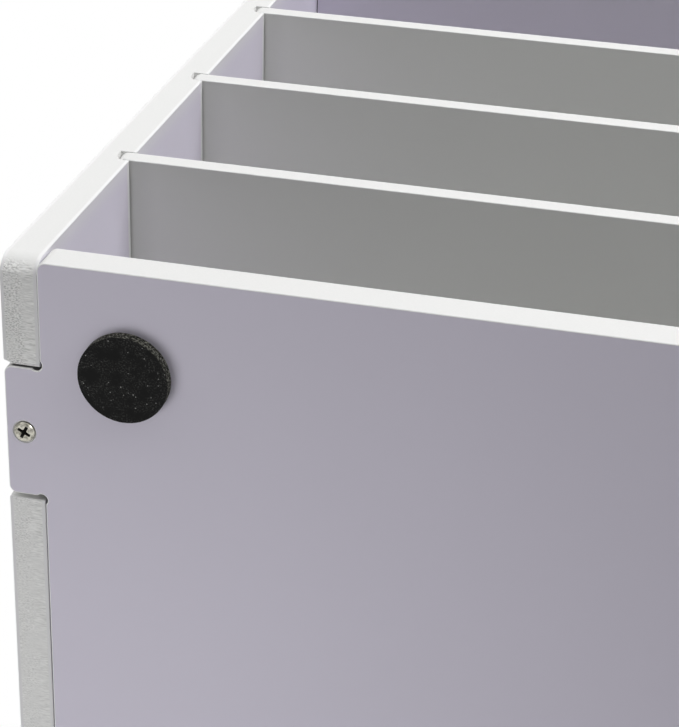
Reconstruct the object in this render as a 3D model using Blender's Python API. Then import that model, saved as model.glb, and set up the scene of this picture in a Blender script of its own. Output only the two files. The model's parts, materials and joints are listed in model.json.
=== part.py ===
"""Mail sorter: a casing of white boards with thin shelves that slide in grooves.

Metres, +Z up. The origin is under the middle of the sorter, on the surface that it stands on,
and the open front faces -Y. The side boards stand on both sides of the bottom and top boards,
whose tabs reach through notches in the sides and are screwed to them.
"""
import math

import bmesh
import bpy
from mathutils import Euler, Matrix, Vector

# Whole sorter
WIDTH = 0.330
DEPTH = 0.240
COMPARTMENT_HEIGHT = 0.057
COMPARTMENT_COUNT = 4

# Boards
CASING_BOARD = 0.009
SHELF_BOARD = 0.005
BACK_BOARD = 0.005
SIDE_CORNER_RADIUS = 0.0055
BOARD_CORNER_RADIUS = 0.0022
EDGE_BREAK = 0.0003

# Clearance between neighbours, and how far a cutter reaches past what it cuts
FIT_GAP = 0.0003
OVERRUN = 0.002

# Grooves for the shelves and the back board
GROOVE_DEPTH = 0.0041
BACK_INSET = 0.006

# Tabs of the bottom and top boards, measured from the front and from the rear edge
TAB_FROM_EDGE = 0.0275
TAB_LENGTH = 0.0338
TAB_CORNER_RADIUS = 0.002
NOTCH_FRONT_CLEARANCE = 0.0005
NOTCH_REAR_CLEARANCE = 0.0014
RELIEF_RADIUS = 0.0015

# Countersunk screws
SCREW_HEAD_RADIUS = 0.0026
SCREW_SHANK_RADIUS = 0.0015
SCREW_LENGTH = 0.025
SCREW_POINT_LENGTH = 0.004
SCREW_TIP_RADIUS = 0.0003
SCREW_HEAD_PROUD = 0.0004
SCREW_CLEARANCE = 0.0004
PILOT_SPARE_DEPTH = 0.001
RECESS_SPAN = 0.0034
RECESS_ARM_WIDTH = 0.0009
RECESS_DEPTH = 0.0014
RECESS_FLOOR_SHARE = 0.35
RECESS_TURN_DEGREES = 27.0
RECESS_TURN_STEP_DEGREES = 31.0

# Foot pads
FOOT_RADIUS = 0.011
FOOT_THICKNESS = 0.0025
FOOT_EDGE_ROUND = 0.0006
FOOT_FROM_SIDE = 0.0302
FOOT_FROM_EDGE = 0.0259

# Facets of the round shapes
CORNER_STEPS = 8
RELIEF_STEPS = 10
SCREW_SEGMENTS = 28
FOOT_SEGMENTS = 56
SMOOTH_ANGLE_DEGREES = 35.0

# Where things come to lie
SHELF_COUNT = COMPARTMENT_COUNT - 1
INNER_WIDTH = WIDTH - 2 * CASING_BOARD
INNER_HEIGHT = COMPARTMENT_COUNT * COMPARTMENT_HEIGHT + SHELF_COUNT * SHELF_BOARD
CASING_HEIGHT = INNER_HEIGHT + 2 * CASING_BOARD
CASING_BASE_Z = FOOT_THICKNESS + FIT_GAP
CASING_TOP_Z = CASING_BASE_Z + CASING_HEIGHT
FRONT_Y = -DEPTH / 2
REAR_Y = DEPTH / 2
BACK_REAR_Y = REAR_Y - BACK_INSET
BACK_FRONT_Y = BACK_REAR_Y - BACK_BOARD
GROOVE_REACH = GROOVE_DEPTH - FIT_GAP
TAB_STARTS = (FRONT_Y + TAB_FROM_EDGE, REAR_Y - TAB_FROM_EDGE - TAB_LENGTH)
SIDES = {"left": -1, "right": 1}
ENDS = ("front", "rear")

# Turns that carry a board drawn in its own XY plane to its place
SIDE_TURN = Matrix(((0, 0, 1), (1, 0, 0), (0, 1, 0))).to_euler()
BACK_TURN = Matrix(((1, 0, 0), (0, 0, -1), (0, 1, 0))).to_euler()
LYING = Euler((0, 0, 0))
UPSIDE_DOWN = Euler((math.pi, 0, 0))

# Finishes: base colour, roughness, metallic
FINISHES = {
    "casing_board": ((0.73, 0.70, 0.80), 0.55, 0.0),
    "shelf_board": ((0.78, 0.785, 0.755), 0.55, 0.0),
    "screw_metal": ((0.45, 0.43, 0.37), 0.35, 1.0),
    "foot_pad": ((0.014, 0.014, 0.013), 0.85, 0.0),
}


# Scene helpers


def clear_scene():
    for thing in list(bpy.data.objects):
        bpy.data.objects.remove(thing, do_unlink=True)


def make_material(name, finish):
    colour, roughness, metallic = FINISHES[finish]
    material = bpy.data.materials.new(name)
    material.use_nodes = True
    shader = material.node_tree.nodes["Principled BSDF"]
    shader.inputs["Base Color"].default_value = (*colour, 1.0)
    shader.inputs["Roughness"].default_value = roughness
    shader.inputs["Metallic"].default_value = metallic
    return material


def add_object(name, bm, location, rotation, parent):
    """Link a new object that holds the bmesh, which is freed."""
    bmesh.ops.recalc_face_normals(bm, faces=bm.faces)
    mesh = bpy.data.meshes.new(name)
    bm.to_mesh(mesh)
    bm.free()
    thing = bpy.data.objects.new(name, mesh)
    bpy.context.scene.collection.objects.link(thing)
    thing.location = location
    thing.rotation_euler = rotation
    thing.parent = parent
    return thing


def add_part(name, finish, bm, location, parent, rotation=LYING):
    part = add_object(name, bm, location, rotation, parent)
    part.data.materials.append(make_material(name + "_finish", finish))
    return part


def add_cutter(name, bm, location, parent, rotation=LYING):
    cutter = add_object(name, bm, location, rotation, parent)
    cutter.hide_render = True
    cutter.display_type = "WIRE"
    return cutter


def cut(part, cutter):
    boolean = part.modifiers.new(cutter.name, "BOOLEAN")
    boolean.operation = "DIFFERENCE"
    boolean.solver = "EXACT"
    boolean.object = cutter


def shade_round(part):
    part.data.shade_smooth()
    part.data.set_sharp_from_angle(angle=math.radians(SMOOTH_ANGLE_DEGREES))


# Outlines, drawn anticlockwise with a treatment for each corner


def sharp(x, y):
    return (x, y, "sharp", 0)


def rounded(x, y, radius):
    return (x, y, "rounded", radius)


def relieved(x, y):
    return (x, y, "relieved", RELIEF_RADIUS)


def arc(centre, start, end, steps, bulge):
    """Points from start to end round the centre, by the way that passes bulge."""
    first = start - centre
    last = end - centre
    turn = math.atan2(first.cross(last), first.dot(last))
    middle = Matrix.Rotation(turn / 2, 2) @ first
    if middle.dot(bulge - centre) < 0:
        turn -= math.copysign(math.tau, turn)
    return [centre + Matrix.Rotation(turn * i / steps, 2) @ first for i in range(steps + 1)]


def corner_points(before, corner, after):
    """Points of one corner: itself, a fillet, or the round a cutting bit leaves past it."""
    place = Vector(corner[:2])
    back = (Vector(before[:2]) - place).normalized()
    onward = (Vector(after[:2]) - place).normalized()
    treatment, radius = corner[2:]
    if treatment == "rounded":
        half_angle = back.angle(onward) / 2
        reach = radius / math.tan(half_angle)
        centre = place + (back + onward).normalized() * radius / math.sin(half_angle)
        return arc(centre, place + back * reach, place + onward * reach, CORNER_STEPS, place)
    if treatment == "relieved":
        chord = radius * math.sqrt(2)
        centre = place + (back + onward) * chord / 2
        return arc(centre, place + back * chord, place + onward * chord, RELIEF_STEPS, place)
    return [place]


def outline(corners):
    points = []
    for index, corner in enumerate(corners):
        before = corners[index - 1]
        after = corners[(index + 1) % len(corners)]
        points.extend(corner_points(before, corner, after))
    return points


# Solids


def board(corners, thickness):
    """A flat board that stands on its outline, with its rims' edges broken."""
    bm = bmesh.new()
    base = bm.faces.new([bm.verts.new((*point, 0)) for point in outline(corners)])
    grown = bmesh.ops.extrude_face_region(bm, geom=[base])["geom"]
    risen = [item for item in grown if isinstance(item, bmesh.types.BMVert)]
    bmesh.ops.translate(bm, verts=risen, vec=(0, 0, thickness))
    caps = [face for face in bm.faces if len(face.verts) > 4]
    rims = list({edge for face in caps for edge in face.edges})
    bmesh.ops.bevel(bm, geom=rims, offset=EDGE_BREAK, segments=1, affect="EDGES")
    return bm


def box(low, high):
    bm = bmesh.new()
    bmesh.ops.create_cube(bm, size=1)
    size = Vector(high) - Vector(low)
    middle = (Vector(high) + Vector(low)) / 2
    bmesh.ops.transform(bm, matrix=Matrix.Translation(middle) @ Matrix.Diagonal((*size, 1)), verts=bm.verts)
    return bm


def turned(profile, segments):
    """A solid turned round Z from (radius, height) pairs, listed from one end to the other."""
    bm = bmesh.new()
    rings = []
    for radius, height in profile:
        angles = [math.tau * i / segments for i in range(segments)]
        rings.append([bm.verts.new((radius * math.cos(a), radius * math.sin(a), height)) for a in angles])
    for lower, upper in zip(rings, rings[1:]):
        for i in range(segments):
            j = (i + 1) % segments
            bm.faces.new((lower[i], lower[j], upper[j], upper[i]))
    bm.faces.new(rings[0])
    bm.faces.new(rings[-1])
    return bm


# Boards


def side_board(name, hand, parent):
    """A side board, its outer face on the sorter's left or right, notched for the tabs."""
    notches = []
    for start in TAB_STARTS:
        notches.append((start - NOTCH_FRONT_CLEARANCE, start + TAB_LENGTH + NOTCH_REAR_CLEARANCE))
    notch_height = CASING_BOARD + FIT_GAP
    corners = [rounded(FRONT_Y, 0, SIDE_CORNER_RADIUS)]
    for front, rear in notches:
        corners.append(sharp(front, 0))
        corners.append(relieved(front, notch_height))
        corners.append(relieved(rear, notch_height))
        corners.append(sharp(rear, 0))
    corners.append(rounded(REAR_Y, 0, SIDE_CORNER_RADIUS))
    corners.append(rounded(REAR_Y, CASING_HEIGHT, SIDE_CORNER_RADIUS))
    for front, rear in reversed(notches):
        corners.append(sharp(rear, CASING_HEIGHT))
        corners.append(relieved(rear, CASING_HEIGHT - notch_height))
        corners.append(relieved(front, CASING_HEIGHT - notch_height))
        corners.append(sharp(front, CASING_HEIGHT))
    corners.append(rounded(FRONT_Y, CASING_HEIGHT, SIDE_CORNER_RADIUS))

    inner_x = hand * INNER_WIDTH / 2
    outer_x = hand * WIDTH / 2
    low_x = min(inner_x, outer_x)
    part = add_part(name, "casing_board", board(corners, CASING_BOARD),
                    (low_x, 0, CASING_BASE_Z), parent, SIDE_TURN)

    groove_x = sorted((inner_x + hand * GROOVE_DEPTH, inner_x - hand * OVERRUN))
    for index in range(SHELF_COUNT):
        floor_z = shelf_z(index) - FIT_GAP
        low = (groove_x[0], FRONT_Y - OVERRUN, floor_z)
        high = (groove_x[1], BACK_FRONT_Y + BACK_BOARD / 2, floor_z + SHELF_BOARD + 2 * FIT_GAP)
        cut(part, add_cutter(f"{name}_shelf_groove_{index + 1}_cutter", box(low, high), (0, 0, 0), parent))

    groove_end = CASING_BOARD - GROOVE_DEPTH
    low = (groove_x[0], BACK_FRONT_Y - FIT_GAP, CASING_BASE_Z + groove_end)
    high = (groove_x[1], BACK_REAR_Y + FIT_GAP, CASING_TOP_Z - groove_end)
    cut(part, add_cutter(f"{name}_back_groove_cutter", box(low, high), (0, 0, 0), parent))

    pilot_radius = SCREW_SHANK_RADIUS + SCREW_CLEARANCE
    pilot_end = SCREW_LENGTH - SCREW_HEAD_PROUD + PILOT_SPARE_DEPTH
    for level, z, turn in levels():
        for index, y in enumerate(screw_ys()):
            pilot = turned([(pilot_radius, CASING_BOARD / 2), (pilot_radius, pilot_end)], SCREW_SEGMENTS)
            place = (hand * (WIDTH - CASING_BOARD) / 2, y, z)
            cut(part, add_cutter(f"{name}_{level}_pilot_{index + 1}_cutter", pilot, place, parent, turn))


def tabbed_board(name, level, parent):
    """The bottom or top board, drawn from its outer face inwards, with tabs at both sides."""
    edge_x = INNER_WIDTH / 2 - FIT_GAP
    tab_x = WIDTH / 2
    corners = [rounded(-edge_x, FRONT_Y, BOARD_CORNER_RADIUS), rounded(edge_x, FRONT_Y, BOARD_CORNER_RADIUS)]
    for start in TAB_STARTS:
        corners.append(relieved(edge_x, start))
        corners.append(rounded(tab_x, start, TAB_CORNER_RADIUS))
        corners.append(rounded(tab_x, start + TAB_LENGTH, TAB_CORNER_RADIUS))
        corners.append(relieved(edge_x, start + TAB_LENGTH))
    corners.append(rounded(edge_x, REAR_Y, BOARD_CORNER_RADIUS))
    corners.append(rounded(-edge_x, REAR_Y, BOARD_CORNER_RADIUS))
    for start in reversed(TAB_STARTS):
        corners.append(relieved(-edge_x, start + TAB_LENGTH))
        corners.append(rounded(-tab_x, start + TAB_LENGTH, TAB_CORNER_RADIUS))
        corners.append(rounded(-tab_x, start, TAB_CORNER_RADIUS))
        corners.append(relieved(-edge_x, start))
    base_z = CASING_BASE_Z if level == "bottom" else CASING_TOP_Z - CASING_BOARD
    part = add_part(name, "casing_board", board(corners, CASING_BOARD), (0, 0, base_z), parent)

    if level == "bottom":
        groove_z = (base_z + CASING_BOARD - GROOVE_DEPTH, base_z + CASING_BOARD + OVERRUN)
    else:
        groove_z = (base_z - OVERRUN, base_z + GROOVE_DEPTH)
    low = (-tab_x, BACK_FRONT_Y - FIT_GAP, groove_z[0])
    high = (tab_x, BACK_REAR_Y + FIT_GAP, groove_z[1])
    cut(part, add_cutter(f"{name}_back_groove_cutter", box(low, high), (0, 0, 0), parent))

    mouth_radius = SCREW_HEAD_RADIUS + SCREW_CLEARANCE
    hole_radius = SCREW_SHANK_RADIUS + SCREW_CLEARANCE
    taper = SCREW_HEAD_RADIUS - SCREW_SHANK_RADIUS
    hole = [
        (mouth_radius, -OVERRUN),
        (mouth_radius, 0),
        (hole_radius, taper),
        (hole_radius, CASING_BOARD + OVERRUN),
    ]
    outer_z, turn = next((z, turn) for each, z, turn in levels() if each == level)
    for side, hand in SIDES.items():
        for index, y in enumerate(screw_ys()):
            place = (hand * (WIDTH - CASING_BOARD) / 2, y, outer_z)
            cutter = add_cutter(f"{name}_{side}_hole_{index + 1}_cutter", turned(hole, SCREW_SEGMENTS),
                                place, parent, turn)
            cut(part, cutter)


def back_board(name, parent):
    half_width = INNER_WIDTH / 2 + GROOVE_REACH
    low_z = CASING_BOARD - GROOVE_REACH
    high_z = CASING_HEIGHT - low_z
    corners = [
        rounded(-half_width, low_z, BOARD_CORNER_RADIUS),
        rounded(half_width, low_z, BOARD_CORNER_RADIUS),
        rounded(half_width, high_z, BOARD_CORNER_RADIUS),
        rounded(-half_width, high_z, BOARD_CORNER_RADIUS),
    ]
    place = (0, BACK_REAR_Y, CASING_BASE_Z)
    add_part(name, "casing_board", board(corners, BACK_BOARD), place, parent, BACK_TURN)


def shelf_z(index):
    """Height of a shelf's underside, the lowest shelf having index 0."""
    pitch = COMPARTMENT_HEIGHT + SHELF_BOARD
    return CASING_BASE_Z + CASING_BOARD + COMPARTMENT_HEIGHT + index * pitch


def shelf(index, parent):
    """A shelf, which slides out to the front in the side boards' grooves."""
    half_width = INNER_WIDTH / 2 + GROOVE_REACH
    rear_y = BACK_FRONT_Y - FIT_GAP
    middle_y = (FRONT_Y + rear_y) / 2
    half_depth = (rear_y - FRONT_Y) / 2
    corners = [
        rounded(-half_width, -half_depth, BOARD_CORNER_RADIUS),
        rounded(half_width, -half_depth, BOARD_CORNER_RADIUS),
        rounded(half_width, half_depth, BOARD_CORNER_RADIUS),
        rounded(-half_width, half_depth, BOARD_CORNER_RADIUS),
    ]
    place = (0, middle_y, shelf_z(index))
    add_part(f"shelf_{index + 1}", "shelf_board", board(corners, SHELF_BOARD), place, parent)


# Fasteners and feet


def levels():
    """Name, outer face's height and turn of the two rows of joints that the screws close."""
    return (("bottom", CASING_BASE_Z, LYING), ("top", CASING_TOP_Z, UPSIDE_DOWN))


def screw_ys():
    return [start + TAB_LENGTH / 2 for start in TAB_STARTS]


def screw_solid():
    """A countersunk screw that points up, the board's outer face being at height zero."""
    tip_z = SCREW_LENGTH - SCREW_HEAD_PROUD
    profile = [
        (SCREW_HEAD_RADIUS, -SCREW_HEAD_PROUD),
        (SCREW_HEAD_RADIUS, 0),
        (SCREW_SHANK_RADIUS, SCREW_HEAD_RADIUS - SCREW_SHANK_RADIUS),
        (SCREW_SHANK_RADIUS, tip_z - SCREW_POINT_LENGTH),
        (SCREW_TIP_RADIUS, tip_z),
    ]
    return turned(profile, SCREW_SEGMENTS)


def recess_solid():
    """A tapered cross, from above the head's face down to the recess's floor."""
    arm = RECESS_ARM_WIDTH / 2
    reach = RECESS_SPAN / 2
    quarter = [(arm, -arm), (reach, -arm), (reach, arm)]
    cross = []
    for turn in range(4):
        cross.extend(Matrix.Rotation(turn * math.pi / 2, 2) @ Vector(point) for point in quarter)
    slope = (1 - RECESS_FLOOR_SHARE) / RECESS_DEPTH
    heights = (-SCREW_HEAD_PROUD - OVERRUN / 4, RECESS_DEPTH - SCREW_HEAD_PROUD)
    bm = bmesh.new()
    rings = []
    for z in heights:
        share = 1 - slope * (z + SCREW_HEAD_PROUD)
        rings.append([bm.verts.new((*(point * share), z)) for point in cross])
    count = len(cross)
    for i in range(count):
        j = (i + 1) % count
        bm.faces.new((rings[0][i], rings[0][j], rings[1][j], rings[1][i]))
    bm.faces.new(rings[0])
    bm.faces.new(rings[1])
    return bm


def screw(name, place, turn, recess_degrees, parent):
    """A screw in its board, its cross recess turned by the given angle."""
    recess_turn = Matrix.Rotation(math.radians(recess_degrees), 4, "Z")
    rotation = (turn.to_matrix().to_4x4() @ recess_turn).to_euler()
    part = add_part(name, "screw_metal", screw_solid(), place, parent, rotation)
    shade_round(part)
    cut(part, add_cutter(f"{name}_recess_cutter", recess_solid(), place, parent, rotation))


def foot_pad(name, x, y, parent):
    profile = [
        (FOOT_RADIUS - FOOT_EDGE_ROUND, 0),
        (FOOT_RADIUS, FOOT_EDGE_ROUND),
        (FOOT_RADIUS, FOOT_THICKNESS),
    ]
    part = add_part(name, "foot_pad", turned(profile, FOOT_SEGMENTS), (x, y, 0), parent)
    shade_round(part)


def main():
    clear_scene()
    sorter = bpy.data.objects.new("mail_sorter", None)
    bpy.context.scene.collection.objects.link(sorter)

    for side, hand in SIDES.items():
        side_board(f"{side}_side_board", hand, sorter)
    for level, _, _ in levels():
        tabbed_board(f"{level}_board", level, sorter)
    back_board("back_board", sorter)
    for index in range(SHELF_COUNT):
        shelf(index, sorter)

    recess_degrees = RECESS_TURN_DEGREES
    for level, z, turn in levels():
        for side, hand in SIDES.items():
            for end, y in zip(ENDS, screw_ys()):
                place = (hand * (WIDTH - CASING_BOARD) / 2, y, z)
                screw(f"{level}_{side}_{end}_screw", place, turn, recess_degrees, sorter)
                recess_degrees += RECESS_TURN_STEP_DEGREES

    for end, y in zip(ENDS, (FRONT_Y + FOOT_FROM_EDGE, REAR_Y - FOOT_FROM_EDGE)):
        for side, hand in SIDES.items():
            foot_pad(f"{end}_{side}_foot", hand * (WIDTH / 2 - FOOT_FROM_SIDE), y, sorter)


main()
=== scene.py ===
import json
import math

import bmesh
import bpy
import numpy as np
from mathutils import Matrix, Vector, noise

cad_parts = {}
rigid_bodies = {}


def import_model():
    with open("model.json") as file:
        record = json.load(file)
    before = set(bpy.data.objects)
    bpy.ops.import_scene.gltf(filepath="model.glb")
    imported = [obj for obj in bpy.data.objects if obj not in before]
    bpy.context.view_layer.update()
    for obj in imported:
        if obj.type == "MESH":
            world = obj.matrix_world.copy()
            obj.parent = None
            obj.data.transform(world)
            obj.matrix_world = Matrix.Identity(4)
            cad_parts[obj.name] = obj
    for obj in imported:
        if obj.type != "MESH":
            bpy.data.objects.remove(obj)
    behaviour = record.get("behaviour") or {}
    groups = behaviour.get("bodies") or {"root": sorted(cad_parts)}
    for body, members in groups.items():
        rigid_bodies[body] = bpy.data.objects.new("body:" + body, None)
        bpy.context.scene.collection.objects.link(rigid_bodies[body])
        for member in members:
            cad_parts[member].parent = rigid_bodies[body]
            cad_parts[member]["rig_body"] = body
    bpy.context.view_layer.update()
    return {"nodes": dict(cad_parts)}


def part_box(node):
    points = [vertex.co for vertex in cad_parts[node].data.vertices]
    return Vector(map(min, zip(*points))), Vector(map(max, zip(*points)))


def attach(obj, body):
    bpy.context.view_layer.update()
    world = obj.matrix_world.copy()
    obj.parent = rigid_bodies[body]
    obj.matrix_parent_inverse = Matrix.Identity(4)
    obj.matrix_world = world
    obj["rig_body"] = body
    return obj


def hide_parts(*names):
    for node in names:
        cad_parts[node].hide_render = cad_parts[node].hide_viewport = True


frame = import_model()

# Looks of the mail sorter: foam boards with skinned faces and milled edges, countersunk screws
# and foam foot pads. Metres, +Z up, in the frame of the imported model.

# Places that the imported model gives
SIDE_LOW, SIDE_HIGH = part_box("right_side_board")
BOTTOM_LOW, BOTTOM_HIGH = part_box("bottom_board")
TOP_LOW, TOP_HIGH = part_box("top_board")
BACK_LOW, BACK_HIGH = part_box("back_board")
SHELVES = ("shelf_1", "shelf_2", "shelf_3")
SIDES = {"left": -1, "right": 1}
LEVELS = ("bottom", "top")
ENDS = ("front", "rear")

HALF_WIDTH = BOTTOM_HIGH.x
INNER_HALF_WIDTH = SIDE_LOW.x
CASING_BOARD = BOTTOM_HIGH.z - BOTTOM_LOW.z
BASE_Z = SIDE_LOW.z
TOP_Z = SIDE_HIGH.z
FRONT_Y = SIDE_LOW.y
REAR_Y = SIDE_HIGH.y

# Boards
SHELF_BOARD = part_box("shelf_1")[1].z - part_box("shelf_1")[0].z
SIDE_CORNER_RADIUS = 0.0059
SIDE_CREASE_DEGREES = 27.0
BOARD_CORNER_RADIUS = 0.0022
ARRIS = 0.0003
SIDE_ARRIS = 0.0002
MOUTH_RADIUS = 0.0006
FIT_GAP = 0.0003
FRONT_JOINT_GAP = 0.00005
JOINT_GAP = 0.0002
SHELF_GAP_BELOW = 0.00045
SHELF_GAP_ABOVE = 0.00025
GROOVE_ROUND_WIDTH = 0.0026
GROOVE_ROUND_HEIGHT = 0.0038
GROOVE_ROUND_GAP = 0.0001
OVERRUN = 0.002
TAB_FROM_EDGE = 0.0275
TAB_LENGTH = 0.0341
TAB_CORNER_RADIUS = 0.002
NOTCH_FRONT_CLEARANCE = 0.0005
NOTCH_REAR_CLEARANCE = 0.0011
RELIEF_RADIUS = 0.0015
TAB_STARTS = (FRONT_Y + TAB_FROM_EDGE, REAR_Y - TAB_FROM_EDGE - TAB_LENGTH)
SCREW_YS = [start + TAB_LENGTH / 2 for start in TAB_STARTS]

# Skins: paler lips along the shelves' grooves, painted shade in the corners by the shelves, painted light
# at the front of the side boards, and painted shade under the shelves along the side boards
LIP_WIDTH = 0.0014
LIP_BLUR = LIP_WIDTH * 0.3
CORNER_SHADE_REACH = 0.014
# Painted light: the side boards' inner skin is paler and less lilac near the open front
FRONT_LIGHT_BAND = 0.006
# Painted shade under the shelves along the side boards: a narrow dark line in a wider fade
SHELF_SHADE_WIDTH = 0.0009
SHELF_SHADE_CORE_WIDTH = SHELF_SHADE_WIDTH * 0.3
SHELF_SHADE_FADE_WIDTH = SHELF_SHADE_WIDTH * 9
SHELF_SHADE_TONE = 0.83
SHELF_SHADE_FADE_TONE = 0.90
CLOUD_SIZE = 0.05
CLOUD_TONES = (0.985, 1.015)
PEEL_SIZE = 0.0009
PEEL_HEIGHT = 0.000004
PEEL_RANGE = (0.2, 0.8)
UPWARD_FACING = (0.3, 0.7)
SKIN_ROUGHNESS = (0.46, 0.58)
SKIN_SHINE = 0.35

# Softened outer corners at the fronts of the notches in the side boards
WEAR = 0.00075
WEAR_WIDTH = 0.0022
WEAR_REACH = 0.004

# Cut edges
SKIN = 0.0008
THIN_SKIN = 0.0004
SKIN_BLUR = (0.7, 1.3)
GRAIN_SIZE = 0.0006
GRAIN_SHARE = 0.02
GRAIN_TONES = (0.95, 1.04)
CUT_ROUGHNESS = 0.7
CUT_SHINE = 0.3

# Milled end edges of the side boards
MILLED_ROUGHNESS = 0.5
MILLED_FACING = (0.3, 0.85)
LUMP_SIZE = 0.0013
LUMP_HEIGHT = 0.00007
CELL_SIZE = (0.00058, 0.00028, 0.0004)
CHATTER_SIZE = (0.0017, 0.00029, 0.0017)
CHATTER_SHARE = 0.5
SMOOTH_PART_SHARE = 0.42
DRIFT_SIZE = 0.005
DRIFT_REACH = 0.006
LIVELY_PATCH = (0.003, 0.005, 0.005)
LIVELY_RANGE = (0.3, 0.6)
LIVELY_LEAST = 0.4
MILLED_HEIGHT = 0.0003
# Painted shade in the pits and painted light on the peaks of the milled relief
PIT_SHADE_RANGE = (-0.16, 0.12)
PIT_SHADE_SHARE = 0.66
PEAK_LIGHT_SHARE = 1.136
CALM_SHARE = 0.5

# Painted shade: dark walls deep in the gaps beside the tabs
SLIT_MOUTH = 0.0011
SLIT_FROM = INNER_HALF_WIDTH - RELIEF_RADIUS * 1.8
SLIT_FULL = INNER_HALF_WIDTH - RELIEF_RADIUS * 1.3
FORWARD_FACING = (-0.5, -0.2)

# Screws
HEAD_RADIUS = 0.0026
HEAD_PROUD = 0.0004
HEAD_DOME = 0.00006
HEAD_BEVEL_WIDTH = 0.0002
HEAD_BEVEL_HEIGHT = 0.0002
HEAD_CLEARANCE = 0.0004
SHANK_RADIUS = 0.0015
POINT_LENGTH = 0.004
POINT_RADIUS = 0.0003
DOME_START = 0.1
RECESS_SPAN = 0.0034
RECESS_ARM_WIDTH = 0.0008
RECESS_DEPTH = 0.0014
RECESS_FLOOR_SHARE = 0.35
RECESS_WEB_RADIUS = 0.0003
RECESS_TURN_DEGREES = 27.0
RECESS_TURN_STEP_DEGREES = 31.0
PLATING_BLOTCH_SIZE = 0.0011
PLATING_RANGE = (0.3, 0.7)
PLATING_RELIEF = 0.00004
PLATING_ROUGHNESS = (0.5, 0.33)
# Painted shade inside the screws' cross recesses
RECESS_SHADE_NOISE_SIZE = 0.0005
RECESS_SHADE_ROUGHNESS = 0.8
RECESS_SHADE_SHINE = 0.1

# Foot pads
FOOT_EDGE_ROUND = 0.0002
FOOT_WAVINESS = 0.00006
FOOT_SEAT_GAP = 0.00003
WAVES_SCALE = 4.0
DUST_PATCH_SIZE = 0.003
DUST_PATCH_RANGE = (0.35, 0.6)
SOLE_CELL_SIZE = 0.0004
SOLE_CELL_RANGE = (0.45, 0.7)
SOLE_RELIEF = 0.00004
SOLE_ROUGHNESS = 0.7
SPECK_SPACING = 0.0011
SPECK_RANGE = (0.08, 0.16)
SPECK_PATCH_RANGE = (0.47, 0.57)
OPEN_CELL_SIZE = 0.00055
OPEN_CELL_RANGE = (0.46, 0.68)
OPEN_CELL_RELIEF = 0.0001
CUT_FOAM_ROUGHNESS = 0.85
FOAM_SHINE = 0.12

# Colours, as linear shares of red, green and blue; the pairs go from dark to bright
FACE_COLOUR = (0.735, 0.70, 0.81)
SHELF_COLOUR = (0.81, 0.815, 0.795)
CUT_COLOUR = (0.88, 0.88, 0.87)
# The cut edges' denser skin, made lighter still as a painted highlight along the arrises
CUT_SKIN_AND_HIGHLIGHT_COLOUR = (0.96, 0.96, 0.96)
END_SKIN_COLOUR = (0.79, 0.788, 0.80)
LIP_COLOUR = (0.80, 0.80, 0.80)
# Painted shade in the side boards' corners by the shelves
CORNER_SHADE_COLOUR = (0.70, 0.665, 0.765)
# Painted light near the open front of the side boards
FRONT_LIGHT_COLOUR = (0.775, 0.76, 0.815)
# Painted shade deep in the gaps beside the tabs
SLIT_SHADE_COLOUR = (0.12, 0.12, 0.12)
SOLE_COLOURS = ((0.003, 0.003, 0.003), (0.045, 0.045, 0.043))
SPECK_COLOUR = (0.45, 0.45, 0.44)
CUT_FOAM_COLOURS = ((0.012, 0.012, 0.01), (0.26, 0.26, 0.22))
PLATING_COLOURS = ((0.17, 0.165, 0.137), (0.60, 0.58, 0.51))
# Painted shade inside the screws' cross recesses
RECESS_SHADE_COLOURS = ((0.002, 0.002, 0.002), (0.06, 0.06, 0.055))
FLOOR_COLOUR = (0.85, 0.85, 0.85)
WHITE = (1.0, 1.0, 1.0)

# Turns from an outline's two axes and the height over it to X, Y and Z
SIDE_TURN = ((0, 0, 1), (1, 0, 0), (0, 1, 0))
LEVEL_TURN = ((1, 0, 0), (0, 1, 0), (0, 0, 1))
BACK_TURN = ((1, 0, 0), (0, 0, -1), (0, 1, 0))

# Fineness of the meshes
FINE_STEP = 0.0004
COARSE_STEP = 0.006
ARRIS_STEPS = 3
ROUND_STEPS = 12
RIM_STEPS = 4
TURNED_SEGMENTS = 64
BOARD_SHARP_DEGREES = 40.0
TURNED_SHARP_DEGREES = 35.0
FLAT_FACE_WEIGHT = 100

# Camera: the photograph's place and direction
PHOTO_HEIGHT_PX = 727
FOCAL_LENGTH_PX = 2353.8
SENSOR_MM = 36.0
CAMERA_PLACE = Vector((0.02776, -0.34142, -0.45647))
CAMERA_LOOK = Vector((-0.21155, 0.4479, 0.8687))
CAMERA_DOWN = Vector((0.12973, 0.89382, -0.42926))
CLIP_START = 0.01

# Light: each softbox's place, size and level, at which 1 shows a white surface facing it as white,
# and, for one that only shades or only shines, which of the two
AMBIENT = 0.15
SOFTBOXES = {
    "front_softbox": ((0.0, -1.3, 0.1), 1.0, 0.22),
    "front_left_softbox": ((-1.0, -1.1, 0.1), 1.0, 0.18),
    "front_right_softbox": ((1.0, -1.1, 0.1), 1.0, 0.58),
    "front_high_softbox": ((-0.3, -1.2, 0.6), 0.8, 0.12),
    "low_left_fill": ((-0.3, 0.06, -0.3), 0.25, 0.29, "diffuse"),
    "low_fill": ((-0.1, 0.02, -0.16), 0.14, 0.09, "diffuse"),
    "front_glint": ((0.62, -0.88, -0.62), 0.45, 0.6, "glossy"),
    "rear_glint": ((0.2, 1.2, 0.2), 0.4, 0.5, "glossy"),
    "top_softbox": ((0.2, 0.2, 1.5), 1.0, 0.46),
    "rear_left_softbox": ((-1.0, 1.2, 0.6), 1.0, 0.33),
    "rear_right_softbox": ((1.0, 1.2, 0.6), 1.0, 0.33),
}
FLOOR_DROP = 0.0002
FLOOR_HALF = 1.0
FLOOR_FADE = (0.35, 0.9)
FLOOR_ROUGHNESS = 0.9


# Outlines, drawn anticlockwise


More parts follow.
